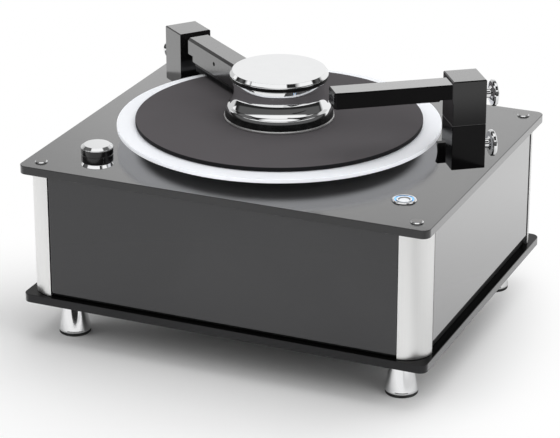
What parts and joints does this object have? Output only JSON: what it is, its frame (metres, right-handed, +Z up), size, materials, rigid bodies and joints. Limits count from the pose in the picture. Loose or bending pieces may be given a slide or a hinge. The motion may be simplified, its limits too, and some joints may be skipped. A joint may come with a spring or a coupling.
{
  "type": "record cleaning machine",
  "caption": "Desktop record cleaning machine: boxed housing on cone feet, turning platter with a puck, a brush arm and a suction arm on towers, rotary knob and lit push button.",
  "frame": {"origin": "on the surface that the feet stand on, under the middle of the bounding box", "axes": "+X to the machine's right seen from the front, +Y to the rear, +Z up"},
  "size_m": [0.4026, 0.326, 0.2601],
  "materials": {
    "gloss_acrylic": "polished",
    "black_board": "matt",
    "satin_aluminium": "satin",
    "polished_chrome": "polished",
    "black_anodised": "satin",
    "pale_acrylic": "satin, translucent",
    "dark_mat": "matt",
    "black_rubber": "matt",
    "black_velvet": "pile",
    "black_bristle": "bristle",
    "steel": "brushed",
    "blue_light": "lit",
    "pale_button": "polished",
    "grey_polymer": "matt",
    "tank_polymer": "natural",
    "hose_rubber": "matt"
  },
  "bodies": {
    "housing": {"top_plate": "gloss_acrylic", "bottom_plate": "gloss_acrylic", "base_board": "black_board", "front_panel": "gloss_acrylic", "rear_panel": "gloss_acrylic", "left_panel": "gloss_acrylic", "right_panel": "gloss_acrylic", "front_left_post": "satin_aluminium", "front_left_screw": "steel", "front_left_foot": "polished_chrome", "front_left_foot_pad": "black_rubber", "front_right_post": "satin_aluminium", "front_right_screw": "steel", "front_right_foot": "polished_chrome", "front_right_foot_pad": "black_rubber", "rear_left_post": "satin_aluminium", "rear_left_screw": "steel", "rear_left_foot": "polished_chrome", "rear_left_foot_pad": "black_rubber", "rear_right_post": "satin_aluminium", "rear_right_screw": "steel", "rear_right_foot": "polished_chrome", "rear_right_foot_pad": "black_rubber", "bearing_housing": "steel", "platter_motor": "grey_polymer", "suction_bush": "steel", "brush_bush": "steel", "knob_base": "polished_chrome", "rotary_switch": "grey_polymer", "button_bezel": "polished_chrome", "button_light_ring": "blue_light", "button_switch": "grey_polymer", "waste_tank": "tank_polymer", "vacuum_pump": "grey_polymer", "power_supply": "grey_polymer", "mains_inlet": "grey_polymer", "waste_hose": "hose_rubber"},
    "platter": {"platter": "pale_acrylic", "platter_mat": "dark_mat", "spindle": "steel"},
    "puck": {"record_puck": "polished_chrome", "puck_seal": "black_rubber"},
    "suction_base": {"suction_tower_base": "black_anodised", "suction_column": "steel", "rim_guide": "black_anodised"},
    "suction_head": {"suction_tower_head": "black_anodised", "lift_tube": "steel", "suction_arm": "black_anodised", "suction_lips": "black_velvet"},
    "upper_screw": {"upper_thumb_screw": "polished_chrome"},
    "lower_screw": {"lower_thumb_screw": "polished_chrome"},
    "brush_post": {"brush_column": "steel"},
    "brush_head": {"brush_tower": "black_anodised", "brush_arm": "black_anodised", "arm_screw": "steel", "arm_brush": "black_bristle"},
    "brush_screw": {"brush_thumb_screw": "polished_chrome"},
    "knob": {"knob_grip": "black_anodised", "knob_cap": "polished_chrome"},
    "button": {"button_cap": "pale_button"}
  },
  "joints": [
    {"name": "platter_spin", "type": "hinge", "parent": "housing", "child": "platter", "pos_m": [-0.01131, 0.002, 0.175], "axis": [0, 0, 1], "continuous": true},
    {"name": "puck_lift", "type": "slide", "parent": "platter", "child": "puck", "axis": [0, 0, 1], "range_m": [0, 0.06]},
    {"name": "suction_swivel", "type": "hinge", "parent": "housing", "child": "suction_base", "pos_m": [0.17109, 0.0034, 0.175], "axis": [0, 0, 1], "range_deg": [-36, 40]},
    {"name": "suction_lift", "type": "slide", "parent": "suction_base", "child": "suction_head", "axis": [0, 0, 1], "range_m": [0, 0.02]},
    {"name": "upper_screw_turn", "type": "hinge", "parent": "suction_head", "child": "upper_screw", "pos_m": [0.18384, 0.01266, 0.2413], "axis": [0.809, 0.5878, 0], "range_deg": [0, 360]},
    {"name": "lower_screw_turn", "type": "hinge", "parent": "suction_base", "child": "lower_screw", "pos_m": [0.18384, 0.01266, 0.1928], "axis": [0.809, 0.5878, 0], "range_deg": [0, 360]},
    {"name": "brush_swivel", "type": "hinge", "parent": "housing", "child": "brush_post", "pos_m": [-0.15701, 0.1116, 0.175], "axis": [0, 0, 1], "range_deg": [-68, 0]},
    {"name": "brush_lift", "type": "slide", "parent": "brush_post", "child": "brush_head", "axis": [0, 0, 1], "range_m": [0, 0.02]},
    {"name": "brush_screw_turn", "type": "hinge", "parent": "brush_head", "child": "brush_screw", "pos_m": [-0.17007, 0.12192, 0.2006], "axis": [-0.7848, 0.6198, 0], "range_deg": [0, 360]},
    {"name": "knob_turn", "type": "hinge", "parent": "housing", "child": "knob", "pos_m": [-0.13511, -0.1308, 0.175], "axis": [0, 0, 1], "range_deg": [-100, 0]},
    {"name": "button_press", "type": "slide", "parent": "housing", "child": "button", "axis": [0, 0, -1], "range_m": [0, 0.0015], "stiffness_N_per_m": 600, "springref_m": -0.001}
  ]
}
